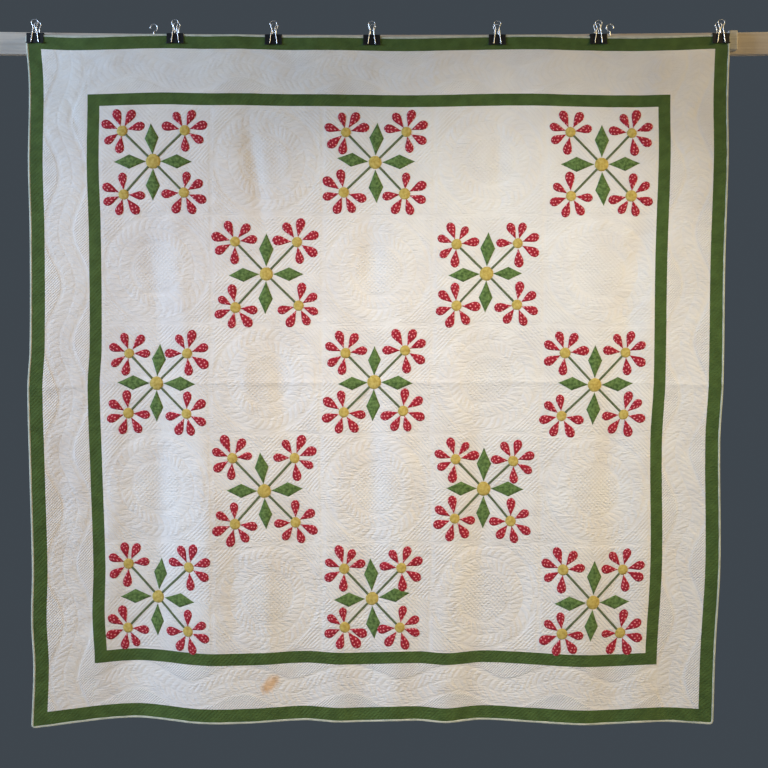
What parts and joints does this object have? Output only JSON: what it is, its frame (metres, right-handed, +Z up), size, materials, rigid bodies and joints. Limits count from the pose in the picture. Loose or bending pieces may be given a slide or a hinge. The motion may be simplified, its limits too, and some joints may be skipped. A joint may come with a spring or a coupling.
{
  "type": "applique quilt hung by spring clips from a wooden lath and wall rail",
  "caption": "Red and green flower applique quilt with green strip borders, hung in soft folds by spring clips from a wooden lath on a wall rail.",
  "frame": {"origin": "middle of the wall rail's back face, on the wall", "axes": "+Z up, +Y into the wall, the quilt's face looks along -Y, +X to the right seen from the front"},
  "size_m": [2.38, 0.0726, 2.1269],
  "materials": {
    "white_cotton": "quilted cotton, matt",
    "green_cotton": "quilted cotton, matt",
    "binding_cotton": "woven cotton, matt",
    "wood": "bare planed softwood",
    "black_enamel": "black enamel, semi-gloss",
    "bright_wire": "bright nickel plate"
  },
  "bodies": {
    "root": {"quilt_field": "white_cotton", "white_border_left": "white_cotton", "white_border_right": "white_cotton", "white_border_top": "white_cotton", "white_border_bottom": "white_cotton", "inner_strip_left": "green_cotton", "inner_strip_right": "green_cotton", "inner_strip_top": "green_cotton", "inner_strip_bottom": "green_cotton", "outer_strip_left": "green_cotton", "outer_strip_right": "green_cotton", "outer_strip_top": "green_cotton", "outer_strip_bottom": "green_cotton", "binding_left": "binding_cotton", "binding_right": "binding_cotton", "binding_top": "binding_cotton", "binding_bottom": "binding_cotton", "wall_rail": "wood", "hanging_lath": "wood", "end_block": "wood", "clip_1_body": "black_enamel", "clip_1_handle_front": "bright_wire", "clip_1_handle_rear": "bright_wire", "clip_2_body": "black_enamel", "clip_2_handle_front": "bright_wire", "clip_2_handle_rear": "bright_wire", "clip_3_body": "black_enamel", "clip_3_handle_front": "bright_wire", "clip_3_handle_rear": "bright_wire", "clip_4_body": "black_enamel", "clip_4_handle_front": "bright_wire", "clip_4_handle_rear": "bright_wire", "clip_5_body": "black_enamel", "clip_5_handle_front": "bright_wire", "clip_5_handle_rear": "bright_wire", "clip_6_body": "black_enamel", "clip_6_handle_front": "bright_wire", "clip_6_handle_rear": "bright_wire", "clip_7_body": "black_enamel", "clip_7_handle_front": "bright_wire", "clip_7_handle_rear": "bright_wire", "screw_hook_left": "bright_wire", "screw_hook_right": "bright_wire"}
  },
  "joints": []
}
